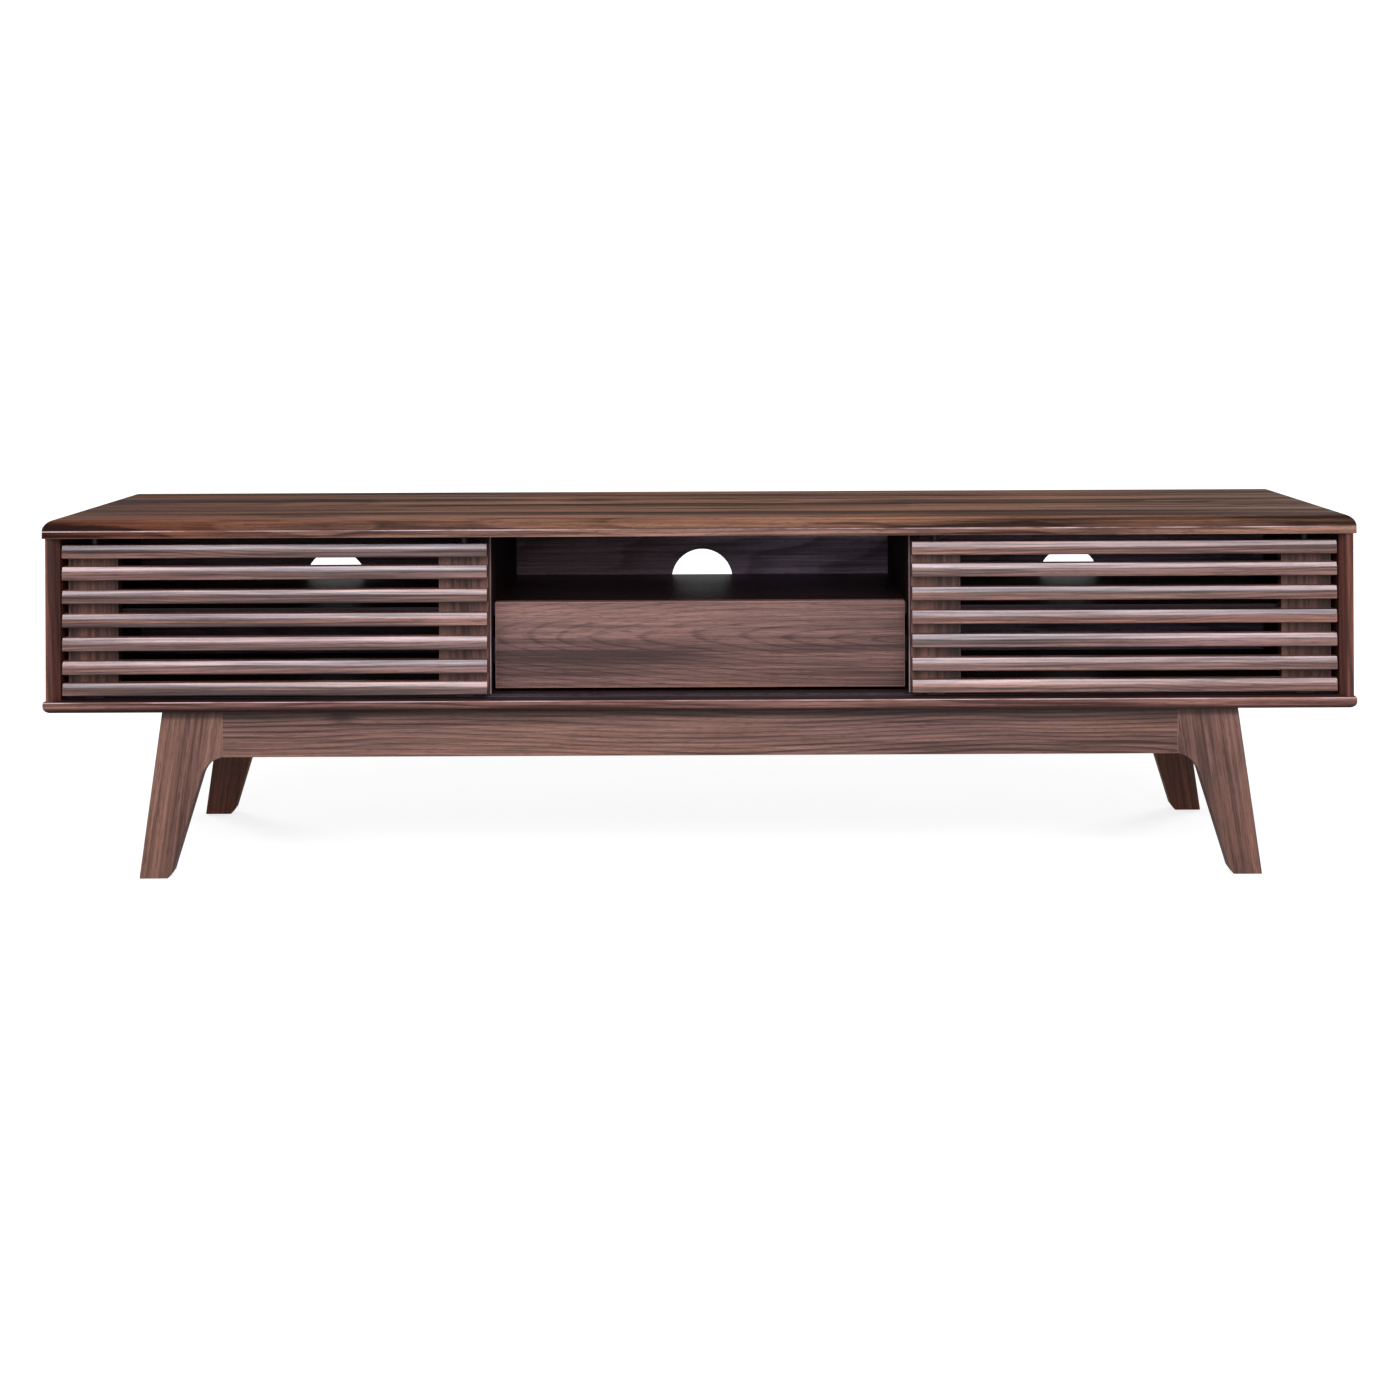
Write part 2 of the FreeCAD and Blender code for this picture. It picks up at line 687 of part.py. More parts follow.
def make_drawer():
    rear_of_face = "face_setback + face_thick"
    add_box("drawer_front", ("2 * face_half", "face_thick", "face_height"),
            ("-face_half", front("face_setback"), "face_low"))
    for side in SIDES:
        at_x = "-box_half" if side == "left" else "box_half - box_wall"
        wall = add_box("drawer_wall_" + side, ("box_wall", "box_depth", "box_height"),
                       (at_x, front(rear_of_face), "box_low"))
        groove_x = "-box_half + box_wall - box_groove" if side == "left" else "box_half - box_wall"
        groove = add_box("drawer_groove_" + side, ("box_groove", "box_depth", "box_floor_thick"),
                         (groove_x, front(rear_of_face), "box_low + box_floor_rise"))
        add_cut("drawer_side_" + side, wall, groove)
    inner_half = "box_half - box_wall"
    add_box("drawer_back",
            ("2 * (%s)" % inner_half, "box_wall", "box_height - box_floor_rise - box_floor_thick"),
            ("-(%s)" % inner_half, front(rear_of_face + " + box_depth - box_wall"),
             "box_low + box_floor_rise + box_floor_thick"))
    add_box("drawer_bottom", ("2 * (%s + box_groove)" % inner_half, "box_depth", "box_floor_thick"),
            ("-(%s + box_groove)" % inner_half, front(rear_of_face), "box_low + box_floor_rise"))


def make_runners():
    """Side-hung runners: a channel on each divider and a slider on each drawer side."""
    channels = []
    sliders = []
    for side, sign in SIDES.items():
        outer_x = "-centre_half" if side == "left" else "centre_half - runner_width"
        at_y = front("face_setback + face_thick + 2")
        block = add_box("runner_block_" + side, ("runner_width", "runner_length", "runner_height"),
                        (outer_x, at_y, "runner_low"))
        space_x = "-centre_half + runner_wall" if side == "left" else "centre_half - runner_width"
        space = add_box("runner_space_" + side,
                        ("runner_width - runner_wall", "runner_length", "runner_height - 2 * runner_wall"),
                        (space_x, at_y, "runner_low + runner_wall"))
        channels.append(add_cut("runner_channel_" + side, block, space))
        slider_x = "-box_half - slider_width" if side == "left" else "box_half"
        slider_z = "runner_low + (runner_height - slider_height) / 2"
        bar = add_box("slider_bar_" + side, ("slider_width", "runner_length", "slider_height"),
                      (slider_x, at_y, slider_z))
        hollow_x = "-box_half - slider_width + runner_wall" if side == "left" else "box_half + runner_wall"
        hollow = add_box("slider_hollow_" + side,
                         ("slider_width - 2 * runner_wall", "runner_length", "slider_height - 2 * runner_wall"),
                         (hollow_x, at_y, slider_z + " + runner_wall"))
        sliders.append(add_cut("slider_" + side, bar, hollow))
    add_fuse("cabinet_runners", channels)
    add_fuse("drawer_runners", sliders)


# -------------------------------------------------------------------- output

def node_names():
    names = ["top_panel", "bottom_panel", "back_panel", "centre_shelf", "shelf_pins", "top_track",
             "bottom_track", "cam_caps", "back_panel_screws", "front_apron", "back_apron",
             "corner_blocks", "base_screws", "cabinet_runners", "drawer_front", "drawer_back",
             "drawer_bottom", "drawer_runners"]
    for side in SIDES:
        names += ["side_panel_" + side, "divider_" + side, "side_shelf_" + side, "end_rail_" + side,
                  "leg_front_" + side, "leg_back_" + side, "drawer_side_" + side,
                  "roller_axles_" + side, "guide_pins_" + side, "guide_springs_" + side]
        names += ["slat_%s_%d" % (side, i + 1) for i in range(SLAT_COUNT)]
        for position in ("inner", "outer"):
            names += ["stile_%s_%s" % (side, position), "roller_%s_%s" % (side, position)]
    return names


def write_parts():
    """Check every sub-part and write one STEP file for each."""
    for obj in doc.Objects:
        if "Invalid" in obj.State or "Error" in obj.State:
            raise RuntimeError("%s is %s" % (obj.Name, obj.State))
    for name in node_names():
        obj = doc.getObject(name)
        obj.Label = name
        if obj.Shape.isNull() or not obj.Shape.isValid():
            raise RuntimeError("bad shape: " + name)
        obj.Shape.exportStep("parts/%s.step" % name)
    print("wrote %d parts" % len(node_names()))


build_sheet()
make_top_panel()
make_bottom_panel()
for which in SIDES:
    make_side_panel(which)
    make_divider(which)
make_back_panel()
make_shelves()
make_shelf_pins()
make_track("bottom_track", "base_height + bottom_thick + low_track_proud - low_track_height",
           "low_track_height", True)
make_track("top_track", "total_height - top_thick", "high_track_height", False)
make_caps_and_back_screws()
make_frame()
make_corner_blocks()
for which in SIDES:
    make_door(which)
make_drawer()
make_runners()
doc.recompute()
write_parts()
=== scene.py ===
"""Console television cabinet: looks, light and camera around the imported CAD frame."""

import math

import bpy
from mathutils import Matrix, Vector


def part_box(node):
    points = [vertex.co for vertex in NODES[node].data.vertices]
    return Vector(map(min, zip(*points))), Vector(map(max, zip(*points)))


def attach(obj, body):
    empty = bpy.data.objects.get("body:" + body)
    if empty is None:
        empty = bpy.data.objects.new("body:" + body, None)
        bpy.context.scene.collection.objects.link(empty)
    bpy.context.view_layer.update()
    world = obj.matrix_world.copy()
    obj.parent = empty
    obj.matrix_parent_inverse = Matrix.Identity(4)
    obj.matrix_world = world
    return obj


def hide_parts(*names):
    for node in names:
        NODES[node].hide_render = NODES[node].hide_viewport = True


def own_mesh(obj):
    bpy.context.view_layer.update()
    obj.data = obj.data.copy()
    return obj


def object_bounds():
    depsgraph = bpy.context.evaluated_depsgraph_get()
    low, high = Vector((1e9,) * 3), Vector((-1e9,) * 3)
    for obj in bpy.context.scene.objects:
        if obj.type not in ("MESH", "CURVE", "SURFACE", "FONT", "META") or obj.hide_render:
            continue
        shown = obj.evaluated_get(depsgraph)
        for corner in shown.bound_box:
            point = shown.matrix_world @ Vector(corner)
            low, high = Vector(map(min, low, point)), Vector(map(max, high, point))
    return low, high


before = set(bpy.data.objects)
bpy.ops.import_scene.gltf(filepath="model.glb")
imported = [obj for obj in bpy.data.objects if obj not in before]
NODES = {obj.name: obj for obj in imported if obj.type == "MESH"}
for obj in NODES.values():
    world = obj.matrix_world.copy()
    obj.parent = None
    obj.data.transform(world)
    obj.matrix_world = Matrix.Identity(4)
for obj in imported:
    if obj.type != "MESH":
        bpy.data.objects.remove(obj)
cad_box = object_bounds()

# Camera, in metres, millimetres and radians; the shifts are in picture widths.
SENSOR_MM = 36.0
LENS_MM = 50.32484
SHIFT_X = -0.01900648
SHIFT_Y = -0.27357811
CAMERA_X = 0.0311
CAMERA_DISTANCE = 2.6567
CAMERA_HEIGHT = 0.7733
CAMERA_ROLL = 0.00438
CAMERA_REACH = 100.0

# How bright the backdrop is to the camera, and how bright it is as a light.
WORLD_SEEN = 1.0
WORLD_LIGHT = 0.35

# Half the floor's width and how far it lies under the feet, in metres.
FLOOR_HALF = 30.0
FLOOR_DROP = 0.0003
# The floor glows a little to the camera, as a lit studio sweep does, and fades to white between two radii.
FLOOR_GLOW = 0.74
FLOOR_FADE = (0.9, 3.0)


# ---------------------------------------------------------------- node helpers
class Graph:
    """Short calls for building one material's node tree."""

    def __init__(self, name):
        self.material = bpy.data.materials.new(name)
        self.material.use_nodes = True
        self.tree = self.material.node_tree
        self.tree.nodes.clear()
        self.output = self.tree.nodes.new("ShaderNodeOutputMaterial")

    def node(self, kind, **settings):
        made = self.tree.nodes.new(kind)
        for key, value in settings.items():
            setattr(made, key, value)
        return made

    def feed(self, socket, value):
        if isinstance(value, bpy.types.NodeSocket):
            self.tree.links.new(value, socket)
        else:
            socket.default_value = value

    def math(self, operation, a, b=0.0, c=0.0, clamp=False):
        n = self.node("ShaderNodeMath", operation=operation, use_clamp=clamp)
        for socket, value in zip(n.inputs, (a, b, c)):
            self.feed(socket, value)
        return n.outputs[0]

    def vector(self, operation, a, b=(0.0, 0.0, 0.0)):
        n = self.node("ShaderNodeVectorMath", operation=operation)
        self.feed(n.inputs[0], a)
        self.feed(n.inputs[1], b)
        return n.outputs["Value"] if operation in ("LENGTH", "DOT_PRODUCT") else n.outputs[0]

    def split(self, vector):
        n = self.node("ShaderNodeSeparateXYZ")
        self.feed(n.inputs[0], vector)
        return n.outputs[0], n.outputs[1], n.outputs[2]

    def join(self, x, y, z):
        n = self.node("ShaderNodeCombineXYZ")
        for socket, value in zip(n.inputs, (x, y, z)):
            self.feed(socket, value)
        return n.outputs[0]

    def noise(self, vector, scale=(1.0, 1.0, 1.0), detail=2.0, rough=0.5, colour=False, distort=0.0):
        n = self.node("ShaderNodeTexNoise", noise_dimensions="3D")
        self.feed(n.inputs["Vector"], self.vector("MULTIPLY", vector, scale))
        n.inputs["Scale"].default_value = 1.0
        n.inputs["Detail"].default_value = detail
        n.inputs["Roughness"].default_value = rough
        n.inputs["Distortion"].default_value = distort
        return n.outputs["Color"] if colour else n.outputs["Fac"]

    def remap(self, value, low, high, to_low=0.0, to_high=1.0, smooth=False):
        n = self.node("ShaderNodeMapRange", clamp=True)
        n.interpolation_type = "SMOOTHSTEP" if smooth else "LINEAR"
        for socket, v in zip(n.inputs, (value, low, high, to_low, to_high)):
            self.feed(socket, v)
        return n.outputs[0]

    def ramp(self, value, stops):
        n = self.node("ShaderNodeValToRGB")
        self.feed(n.inputs[0], value)
        ramp = n.color_ramp
        while len(ramp.elements) > 1:
            ramp.elements.remove(ramp.elements[-1])
        for i, (place, colour) in enumerate(stops):
            stop = ramp.elements[0] if i == 0 else ramp.elements.new(place)
            stop.position = place
            stop.color = (*colour, 1.0)
        return n.outputs[0]

    def mix(self, factor, a, b, blend="MIX"):
        n = self.node("ShaderNodeMix", data_type="RGBA", blend_type=blend)
        self.feed(n.inputs["Factor"], factor)
        for socket, value in zip((n.inputs[6], n.inputs[7]), (a, b)):
            self.feed(socket, (*value, 1.0) if isinstance(value, tuple) else value)
        return n.outputs[2]

    def grey(self, value):
        n = self.node("ShaderNodeCombineColor")
        for socket in n.inputs[:3]:
            self.feed(socket, value)
        return n.outputs[0]

    def bump(self, height, strength, distance, normal=None):
        n = self.node("ShaderNodeBump")
        n.inputs["Strength"].default_value = strength
        n.inputs["Distance"].default_value = distance
        self.feed(n.inputs["Height"], height)
        if normal is not None:
            self.feed(n.inputs["Normal"], normal)
        return n.outputs[0]

    def surface(self, colour, roughness, normal, **constants):
        shader = self.shader = self.node("ShaderNodeBsdfPrincipled")
        self.feed(shader.inputs["Base Color"], colour)
        self.feed(shader.inputs["Roughness"], roughness)
        if normal is not None:
            self.feed(shader.inputs["Normal"], normal)
        for key, value in constants.items():
            shader.inputs[key.replace("_", " ")].default_value = value
        self.tree.links.new(shader.outputs[0], self.output.inputs[0])
        return self.material


def linear(r, g, b):
    """An sRGB colour of 0 to 255 as linear values."""
    out = []
    for channel in (r, g, b):
        c = channel / 255.0
        out.append(c / 12.92 if c <= 0.04045 else ((c + 0.055) / 1.055) ** 2.4)
    return tuple(out)


def edge_distance(g, point, low, high):
    """Distance from the nearest arris of a box, for a point on the box's surface."""
    inward = g.vector("MINIMUM", g.vector("SUBTRACT", point, low), g.vector("SUBTRACT", high, point))
    a, b, c = g.split(inward)
    smaller = g.math("MINIMUM", a, b)
    larger = g.math("MAXIMUM", a, b)
    return g.math("MAXIMUM", smaller, g.math("MINIMUM", larger, c))


# ---------------------------------------------------------------- wood
# Painted highlight: the light colour of a bright line along a long arris, where light catches it.
HIGHLIGHT_LINE_COLOUR = linear(196, 174, 176)
# Which axis runs along the grain, which across the board's face, and which through its thickness.
GRAIN_AXES = {"flat": (0, 1, 2), "upright": (0, 2, 1), "end": (2, 1, 0), "post": (2, 0, 1), "deep": (1, 2, 0)}

# How often each feature of the wood repeats in a metre: along the grain, across it and through the board.
WARP = (1.6, 7.0, 7.0)
FINE_WARP = (9.0, 60.0, 60.0)
BLOTCH = (2.2, 6.0, 5.0)
STRAND = (3.0, 170.0, 170.0)
FIBRE = (7.0, 420.0, 420.0)
FLECK = (38.0, 560.0, 560.0)
PORE = (75.0, 1500.0, 1500.0)
RUBBED_PATCH = (30.0, 90.0, 90.0)
HIGHLIGHT_LINE_BREAK = (11.0, 40.0, 40.0)
# The same along the grain for the broad stripes; each look gives its own across and through.
BROAD_ALONG = 0.9

# Each seed takes its board from its own place in the log: a step along each axis, wrapped within a span.
LOG_STEPS = (0.731, 1.373, 0.917)
LOG_SPANS = (7.0, 5.0, 3.0)
# Late wood is full at the first of these shares of a ring's width, and falls away from the second.
LATE_FULL = 0.88
LATE_ENDS = 0.90
# The tone of average wood before its broad stripes, and how strongly the strands and the warp change it.
MEAN_TONE = 0.35
STRAND_DEPTH = 0.80
WARP_DEPTH = 0.25
# Flecks, pores and knots take the dark tone, scaled by these; the pores cover it by PORE_DEPTH.
FLECK_SHADE = 0.45
PORE_SHADE = 0.35
KNOT_SHADE = 0.42
PORE_DEPTH = 0.45
# Rubbed arrises, lightened also as painted highlights, take the light tone, scaled by this.
ARRIS_WEAR_AND_HIGHLIGHT_GAIN = 1.9
# A painted highlight line with a front limit shows only in front of that y, and is full this far in front of
# it, in metres.
HIGHLIGHT_LINE_FRONT_EDGE = 0.0006
# Strength and height in metres of the bump that fibres and pores make, and of the board's slight waves.
FIBRE_RELIEF, FIBRE_HEIGHT = 0.30, 0.00018
WAVE_RELIEF, WAVE_HEIGHT = 0.12, 0.0012


def darker(colour, gain):
    """A colour with every channel scaled by a gain."""
    return tuple(c * gain for c in colour)


def knots_in(g, look, along, across):
    """How far the knots push the rings aside, and where they darken the wood: None without knots."""
    push = 0.0
    shade = None
    for knot_along, knot_across, length, width in look.get("knots", ()):
        ku = g.math("DIVIDE", g.math("SUBTRACT", along, knot_along), length)
        kv = g.math("DIVIDE", g.math("SUBTRACT", across, knot_across), width)
        away = g.math("ADD", g.math("MULTIPLY", ku, ku), g.math("MULTIPLY", kv, kv))
        spot = g.math("EXPONENT", g.math("MULTIPLY", away, -1.0))
        push = g.math("MULTIPLY_ADD", spot, look.get("knot_push", 0.02), push)
        shade = spot if shade is None else g.math("MAXIMUM", shade, spot)
    return push, shade


def late_wood(g, look, flow, sample, warps, push):
    """The dark late wood of the growth rings that run round the pith."""
    along, across, depth = flow
    fine_warp = g.math("SUBTRACT", g.noise(sample, FINE_WARP, 2.0), 0.5)
    wander = look.get("wander", 0.05)
    pith_across, pith_depth, taper, pith_along = look.get("pith", (0.0, 0.16, 0.10, 0.0))
    ring_v = g.math("SUBTRACT", across, pith_across)
    ring_v = g.math("MULTIPLY_ADD", warps[0], wander, ring_v)
    drift = g.math("MULTIPLY", g.math("SUBTRACT", along, pith_along), taper)
    ring_w = g.math("ADD", g.math("ADD", g.math("SUBTRACT", depth, pith_depth), drift), push)
    ring_w = g.math("MULTIPLY_ADD", warps[1], wander, ring_w)
    radius = g.vector("LENGTH", g.join(0.0, ring_v, ring_w))
    radius = g.math("MULTIPLY_ADD", fine_warp, look.get("ripple", 0.0035), radius)
    rings = g.math("FRACT", g.math("MULTIPLY", radius, look.get("rings", 120.0)))
    rise = g.remap(rings, look.get("late_from", 0.35), LATE_FULL, smooth=True)
    return g.math("SUBTRACT", rise, g.remap(rings, LATE_ENDS, 1.0))


def board_stain_and_painted_light(g, look, colour, parts):
    """The board's own stain; a tint that fades along it; and painted light and shade on a face that stays in
    the cabinet.
    """
    if "board" in look:
        colour = g.mix(1.0, colour, look["board"], "MULTIPLY")
    shaded = colour
    if "fade" in look:
        start, stop, tint = look["fade"]
        full = g.remap(parts[0], start, stop, smooth=True)
        shaded = g.mix(full, g.mix(1.0, colour, tint, "MULTIPLY"), colour)
    if "inside" not in look:
        return shaded
    # Painted shade on faces inside the cabinet; on the back panel, painted lavender light instead.
    axis, start, stop, tint = look["inside"]
    outer = g.remap(g.math("ABSOLUTE", parts[axis]), start, stop)
    return g.mix(outer, g.mix(1.0, shaded, tint, "MULTIPLY"), colour)


def rub_and_highlight_arrises(g, look, colour, place, sample, box):
    """Finish rubbed thin along the arrises, with a painted highlight on them as well."""
    away = edge_distance(g, place, *box)
    patchy = g.noise(sample, RUBBED_PATCH, 2.0)
    reach = g.math("MULTIPLY", patchy, look.get("wear_and_highlight_width", 0.0030))
    worn = g.math("SUBTRACT", 1.0, g.math("DIVIDE", away, reach), clamp=True)
    worn = g.math("MULTIPLY", worn, look.get("wear_and_highlight", 0.5))
    return g.mix(worn, colour, tuple(min(1.0, c * ARRIS_WEAR_AND_HIGHLIGHT_GAIN) for c in look["light"]))


def paint_highlight_line(g, look, colour, parts, sample):
    """A painted highlight line along one long arris, in broken stretches."""
    axis, level, half_width, amount = look["highlight_line"]
    off_highlight_line = g.math("ABSOLUTE", g.math("SUBTRACT", g.math("ABSOLUTE", parts[axis]), level))
    highlight_line = g.math("SUBTRACT", 1.0, g.math("DIVIDE", off_highlight_line, half_width), clamp=True)
    if "highlight_line_front" in look:
        front = look["highlight_line_front"]
        highlight_line = g.math("MULTIPLY", highlight_line, g.remap(parts[1], front, front - HIGHLIGHT_LINE_FRONT_EDGE))
    broken = g.noise(sample, HIGHLIGHT_LINE_BREAK, 3.0, 0.6)
    highlight_line = g.math("MULTIPLY", highlight_line, g.remap(broken, 0.38, 0.60, amount * 0.15, amount))
    return g.mix(highlight_line, colour, HIGHLIGHT_LINE_COLOUR)


def wood(name, seed, look, low, high):
    """Walnut cut from its own place in a log: growth rings, dark streaks, fibre, pores and wear, with painted
    highlights, painted light and painted shade.
    """
    g = Graph(name)
    place = g.node("ShaderNodeTexCoord").outputs["Object"]
    parts = g.split(place)
    order = GRAIN_AXES[look.get("grain", "flat")]
    along, across, depth = (parts[i] for i in order)
    lean = look.get("lean", 0.0)
    if lean:
        across = g.math("MULTIPLY_ADD", along, lean, across)
    shift = tuple((seed * step) % span for step, span in zip(LOG_STEPS, LOG_SPANS))
    sample = g.vector("ADD", g.join(along, across, depth), shift)

    push, knot_shade = knots_in(g, look, along, across)
    warp = g.noise(sample, WARP, 2.0, 0.5, colour=True)
    warps = g.split(g.vector("SUBTRACT", warp, (0.5, 0.5, 0.5)))
    late = late_wood(g, look, (along, across, depth), sample, warps, push)

    broad_scale = (BROAD_ALONG, look.get("stripe", 14.0), look.get("stripe_through", 10.0))
    broad = g.noise(sample, broad_scale, 3.0, 0.55, distort=0.25)
    blotch = g.noise(sample, BLOTCH, 2.0)
    fibre = g.noise(sample, FIBRE, 3.0, 0.6)
    strand = g.noise(sample, STRAND, 3.0, 0.6)
    flecks = g.remap(g.noise(sample, FLECK, 1.0, 0.5), 0.56, 0.70, smooth=True)
    pores = g.remap(g.noise(sample, PORE, 1.0, 0.4), 0.60, 0.72, smooth=True)

    dark, mid, light = look["dark"], look["mid"], look["light"]
    stripes = look.get("stripe_depth", 1.1)
    mixing = g.math("MULTIPLY_ADD", strand, STRAND_DEPTH, g.math("MULTIPLY", broad, stripes))
    mixing = g.math("MULTIPLY_ADD", late, -look.get("ring_depth", 0.14), mixing)
    mixing = g.math("MULTIPLY_ADD", warps[2], WARP_DEPTH, mixing)
    middle = MEAN_TONE + stripes / 2
    span = look.get("span", 0.25)
    colour = g.ramp(
        g.remap(mixing, middle - span, middle + span),
        [(0.0, darker(dark, 0.72)), (0.20, dark), (0.48, mid), (0.78, light), (1.0, darker(light, 1.2))],
    )
    hue = g.ramp(blotch, [(0.30, (0.93, 0.95, 1.06)), (0.70, (1.07, 1.02, 0.93))])
    colour = g.mix(0.55, colour, hue, "MULTIPLY")
    fibre_gain = g.remap(fibre, 0.27, 0.73, *look.get("fibre", (0.60, 1.38)))
    colour = g.mix(1.0, colour, g.grey(fibre_gain), "MULTIPLY")
    fleck_depth = g.math("MULTIPLY", flecks, look.get("flecks", 0.32))
    colour = g.mix(fleck_depth, colour, darker(dark, FLECK_SHADE))
    colour = g.mix(g.math("MULTIPLY", pores, PORE_DEPTH), colour, darker(dark, PORE_SHADE))
    if knot_shade is not None:
        murk = g.math("MULTIPLY", g.remap(knot_shade, 0.05, 0.9), g.remap(strand, 0.2, 0.8, 0.45, 0.95))
        colour = g.mix(murk, colour, darker(dark, KNOT_SHADE))

    # The board's stain, and painted light and shade on faces inside the cabinet.
    colour = board_stain_and_painted_light(g, look, colour, parts)
    # Wear along the arrises, which is also a painted highlight there.
    colour = rub_and_highlight_arrises(g, look, colour, place, sample, (low, high))
    # Level bands of painted light and shade: a lighter or darker strip of a rounding or lip, and the painted
    # shadow on the strip under an overhang.
    for painted_level, plain, tint in look.get("light_and_shade_bands", ()):
        changed = g.mix(1.0, colour, tint, "MULTIPLY")
        colour = g.mix(g.remap(parts[2], painted_level, plain), changed, colour)

    # Painted highlight: a bright line along one long arris.
    if "highlight_line" in look:
        colour = paint_highlight_line(g, look, colour, parts, sample)

    rough = look.get("rough", 0.42)
    roughness = g.remap(fibre, 0.2, 0.8, rough - 0.06, rough + 0.08)
    roughness = g.math("MULTIPLY_ADD", pores, 0.18, roughness)
    roughness = g.math("MULTIPLY_ADD", blotch, 0.06, roughness)
    relief = g.math("SUBTRACT", g.math("MULTIPLY", fibre, 0.35), pores)
    normal = g.bump(relief, FIBRE_RELIEF, FIBRE_HEIGHT)
    normal = g.bump(warps[1], WAVE_RELIEF, WAVE_HEIGHT, normal)
    made = g.surface(
        colour,
        roughness,
        normal,
        Specular_IOR_Level=look.get("specular", 0.25),
        Specular_Tint=(*look.get("gleam", (1.0, 1.0, 1.0)), 1.0),
        Coat_Weight=look.get("coat", 0.12),
        Coat_Roughness=look.get("coat_rough", 0.28),
        Coat_IOR=look.get("coat_ior", 1.5),
    )
    if "coat_streaks" in look:
        streaks = g.math("ADD", g.math("MULTIPLY", strand, 0.5), g.math("MULTIPLY", fibre, 0.5))
        g.feed(g.shader.inputs["Coat Weight"], g.remap(streaks, 0.40, 0.60, *look["coat_streaks"]))
    return made


# ---------------------------------------------------------------- other materials
# How far in from an arris metal and plastic are rubbed, in metres.
METAL_RUB = 0.0008
PLASTIC_RUB = 0.0006
# How often each feature repeats in a metre along x, y and z.
METAL_CLOUD = (60.0, 60.0, 60.0)
PLASTIC_GRAIN = (2600.0, 2600.0, 2600.0)
PLASTIC_MOTTLE = (90.0, 90.0, 90.0)


def brushed_metal(name, seed, look, low, high):
    """Metal with drawn lines along one axis, patchy dulling and rubbed edges."""
    g = Graph(name)
    place = g.node("ShaderNodeTexCoord").outputs["Object"]
    sample = g.vector("ADD", place, (seed * 0.37, seed * 0.59, seed * 0.23))
    lines = g.noise(sample, look["lines"], 3.0, 0.6)
    cloud = g.noise(sample, METAL_CLOUD, 3.0, 0.6)
    colour = g.ramp(lines, [(0.25, look["dark"]), (0.75, look["light"])])
    stain = g.remap(cloud, 0.35, 0.75, 0.78, 1.10)
    colour = g.mix(1.0, colour, g.grey(stain), "MULTIPLY")
    away = edge_distance(g, place, low, high)
    worn = g.math("SUBTRACT", 1.0, g.math("DIVIDE", away, METAL_RUB), clamp=True)
    colour = g.mix(g.math("MULTIPLY", worn, 0.5), colour, tuple(min(1.0, c * 1.6) for c in look["light"]))
    roughness = g.remap(cloud, 0.3, 0.7, look["rough"] - 0.06, look["rough"] + 0.12)
    return g.surface(colour, roughness, g.bump(lines, 0.25, 0.0001), Metallic=look["metallic"])


def moulded(name, seed, look, low, high):
    """Moulded plastic: fine spark-eroded grain, faint mottling and rubbed edges."""
    g = Graph(name)
    place = g.node("ShaderNodeTexCoord").outputs["Object"]
    sample = g.vector("ADD", place, (seed * 0.31, seed * 0.47, seed * 0.19))
    grain = g.noise(sample, PLASTIC_GRAIN, 2.0, 0.6)
    mottle = g.noise(sample, PLASTIC_MOTTLE, 3.0, 0.5)
    colour = g.ramp(mottle, [(0.3, look["dark"]), (0.7, look["light"])])
    away = edge_distance(g, place, low, high)
    worn = g.math("SUBTRACT", 1.0, g.math("DIVIDE", away, PLASTIC_RUB), clamp=True)
    colour = g.mix(g.math("MULTIPLY", worn, 0.35), colour, tuple(min(1.0, c * 1.7) for c in look["light"]))
    roughness = g.remap(grain, 0.3, 0.7, look["rough"] - 0.05, look["rough"] + 0.10)
    return g.surface(colour, roughness, g.bump(grain, 0.30, 0.00006), Specular_IOR_Level=0.45)


# ---------------------------------------------------------------- looks
def tones(tint, dark=(84, 60, 54), mid=(117, 90, 84), light=(143, 112, 103)):
    """Dark, mid and light wood colours, each channel scaled by a tint."""
    return {
        key: tuple(min(1.0, c * t) for c, t in zip(linear(*value), tint))
        for key, value in (("dark", dark), ("mid", mid), ("light", light))
    }
